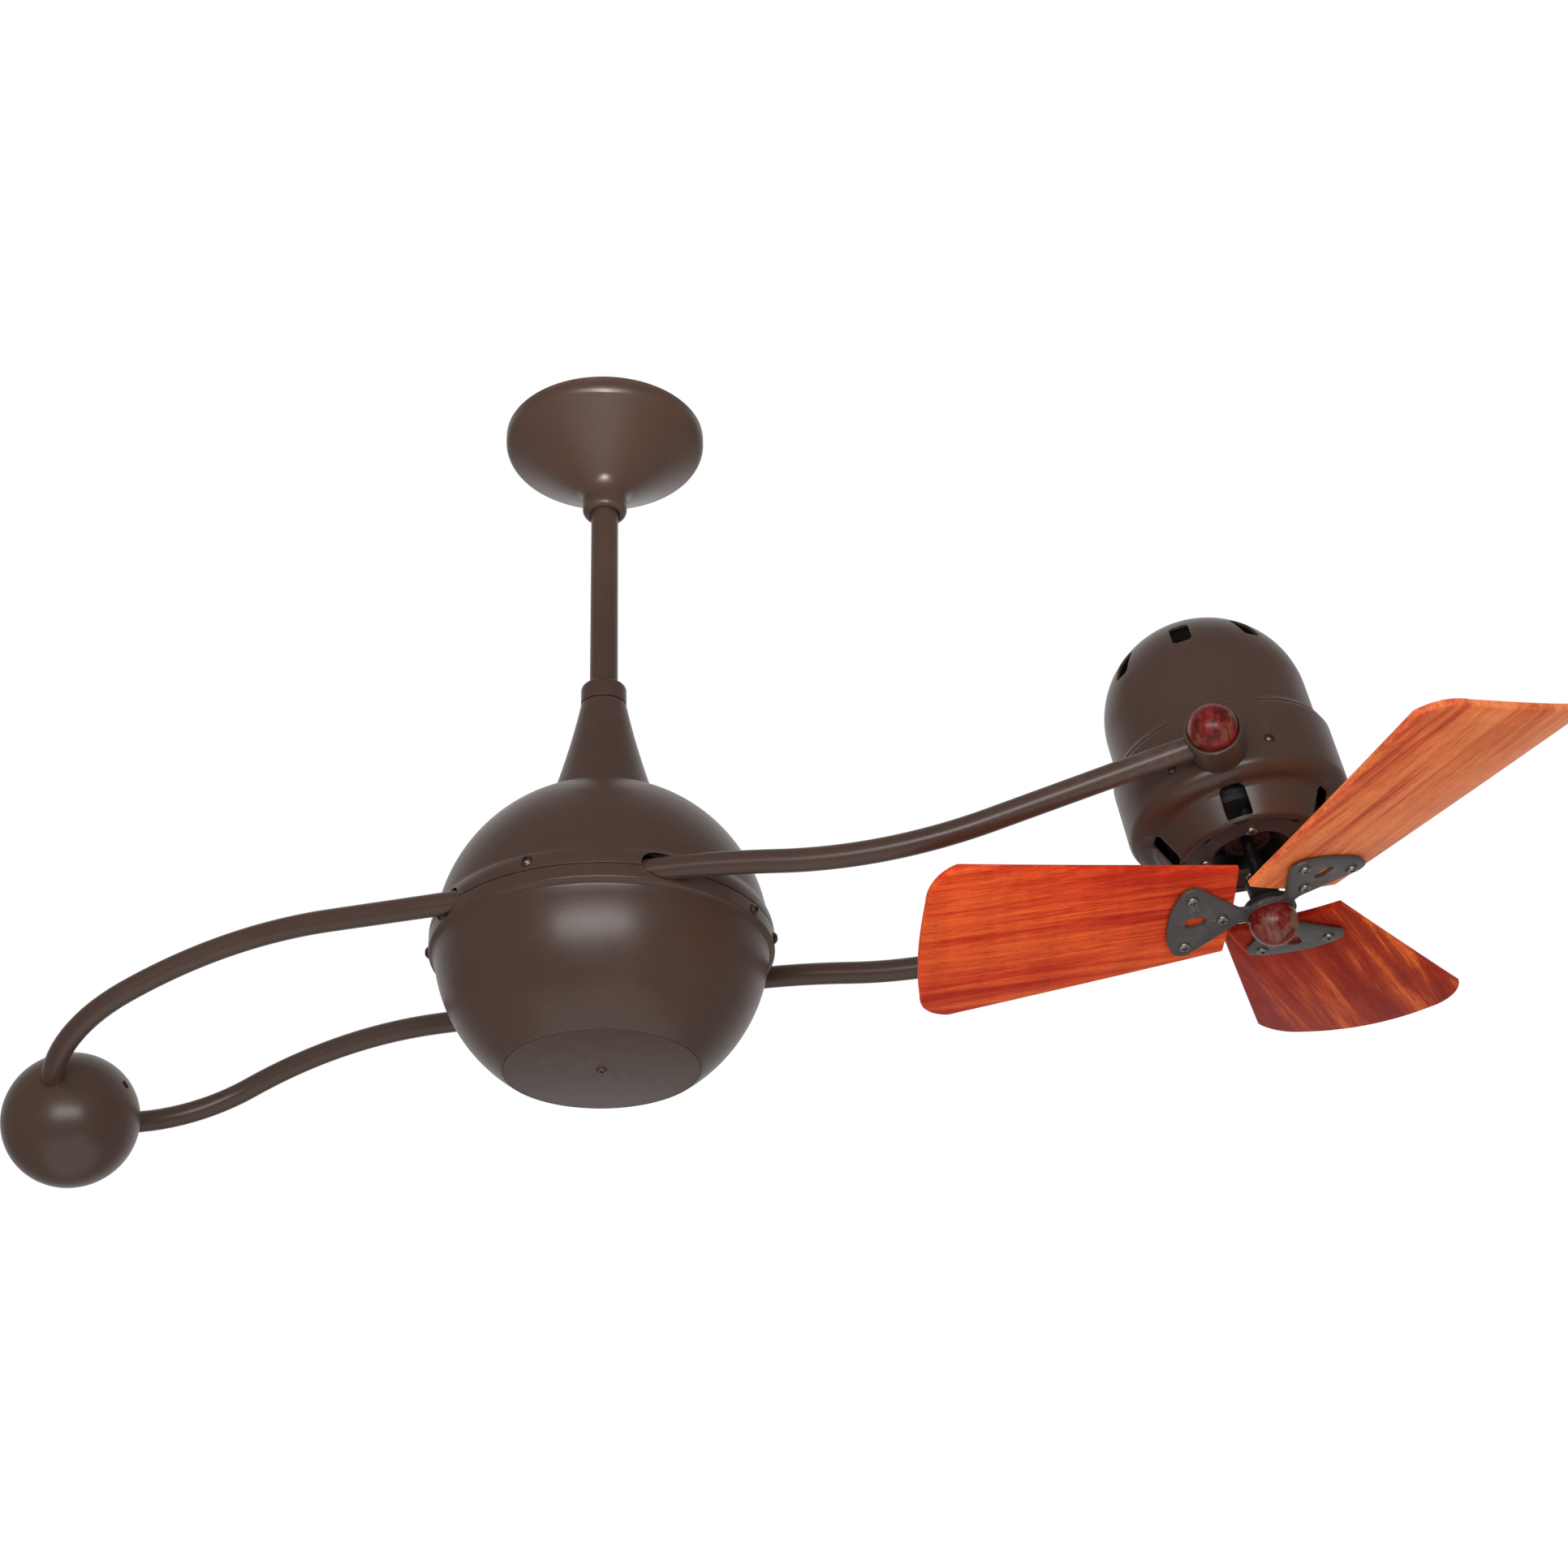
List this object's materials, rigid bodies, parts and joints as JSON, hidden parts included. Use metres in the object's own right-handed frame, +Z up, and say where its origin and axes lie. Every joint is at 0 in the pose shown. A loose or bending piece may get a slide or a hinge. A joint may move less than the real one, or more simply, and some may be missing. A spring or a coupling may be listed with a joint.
{
  "type": "ceiling fan",
  "caption": "Ceiling fan with a tilting fan head on two curved arm tubes that orbit a downrod through a round drive body, balanced by a ball at the far end.",
  "frame": {"origin": "centre of the ceiling face of the bracket, on the downrod axis", "axes": "+Z up into the ceiling, +X along the arms towards the fan head, +Y across the arms to the rear tube"},
  "size_m": [1.0216, 0.3886, 0.5148],
  "materials": {
    "bronze": "satin",
    "bronze_fastener": "satin",
    "bronze_ball": "satin",
    "blade_wood": "satin lacquer",
    "burl_wood": "gloss lacquer",
    "iron_metal": "satin",
    "motor_paint": "satin",
    "plate_metal": "satin",
    "steel": "machined",
    "zinc_steel": "zinc plated",
    "laminations": "stamped",
    "alloy": "cast",
    "brass": "machined",
    "copper": "enamelled wire",
    "nylon": "moulded",
    "black_plastic": "moulded",
    "washer_black": "satin"
  },
  "bodies": {
    "ceiling": {"ceiling_bracket": "zinc_steel", "hanger_bolt": "zinc_steel", "hanger_nut": "zinc_steel", "canopy": "bronze", "ring_nut": "bronze"},
    "drop": {"downrod": "bronze", "rod_collar": "bronze", "collar_screw": "steel", "spindle": "steel", "spindle_pin": "steel", "spindle_nut": "steel", "sun_gear": "brass", "slip_ring": "copper"},
    "carriage": {"cone": "bronze", "cone_bush": "nylon", "upper_shell": "bronze", "lower_shell": "bronze", "bottom_cap": "bronze", "cap_bar": "zinc_steel", "cap_screw": "bronze_fastener", "band_screws": "bronze_fastener", "carrier": "alloy", "tube_clamps": "alloy", "clamp_screws": "steel", "bridge_posts": "steel", "bearing_bridge": "alloy", "bridge_screws": "steel", "body_bearings": "steel", "gearmotor": "black_plastic", "brush_block": "black_plastic", "front_tube": "bronze", "rear_tube": "bronze", "counterweight_ball": "bronze_ball", "pivot_cups": "bronze", "ball_caps": "burl_wood"},
    "drive": {"pinion": "brass"},
    "head": {"dome_cover": "bronze", "motor_cup": "bronze", "pivot_brackets": "zinc_steel", "tilt_bolts": "steel", "friction_washers": "washer_black", "head_screws": "bronze_fastener", "end_plate": "plate_metal", "end_screws": "bronze_fastener", "lower_bell": "motor_paint", "upper_bell": "motor_paint", "stator": "laminations", "windings": "copper", "motor_bolts": "steel", "rotor_bearings": "steel"},
    "fan": {"rotor": "laminations", "motor_shaft": "steel", "blade_hub": "motor_paint", "finial_cup": "bronze", "finial": "burl_wood", "blade_irons": "iron_metal", "blade_screws": "bronze_fastener", "blade_1": "blade_wood", "blade_2": "blade_wood", "blade_3": "blade_wood"}
  },
  "joints": [
    {"name": "rod_swing", "type": "hinge", "parent": "ceiling", "child": "drop", "pos_m": [0, 0, -0.028], "axis": [1, 0, 0], "range_deg": [-2.5, 2.5]},
    {"name": "body_turn", "type": "hinge", "parent": "drop", "child": "carriage", "pos_m": [0, 0, -0.407], "axis": [0, 0, 1], "continuous": true},
    {"name": "pinion_turn", "type": "hinge", "parent": "carriage", "child": "drive", "pos_m": [-0.0324, 0, -0.39], "axis": [0, 0, 1], "continuous": true},
    {"name": "head_tilt", "type": "hinge", "parent": "carriage", "child": "head", "pos_m": [0.406, 0, -0.3834], "axis": [0, -1, 0], "range_deg": [-8.5, 171.5]},
    {"name": "fan_spin", "type": "hinge", "parent": "head", "child": "fan", "pos_m": [0.406, 0, -0.3834], "axis": [-0.1478, 0, 0.989], "continuous": true}
  ],
  "couplings": [
    {"joint": "pinion_turn", "follows": "body_turn", "ratio": 3}
  ]
}
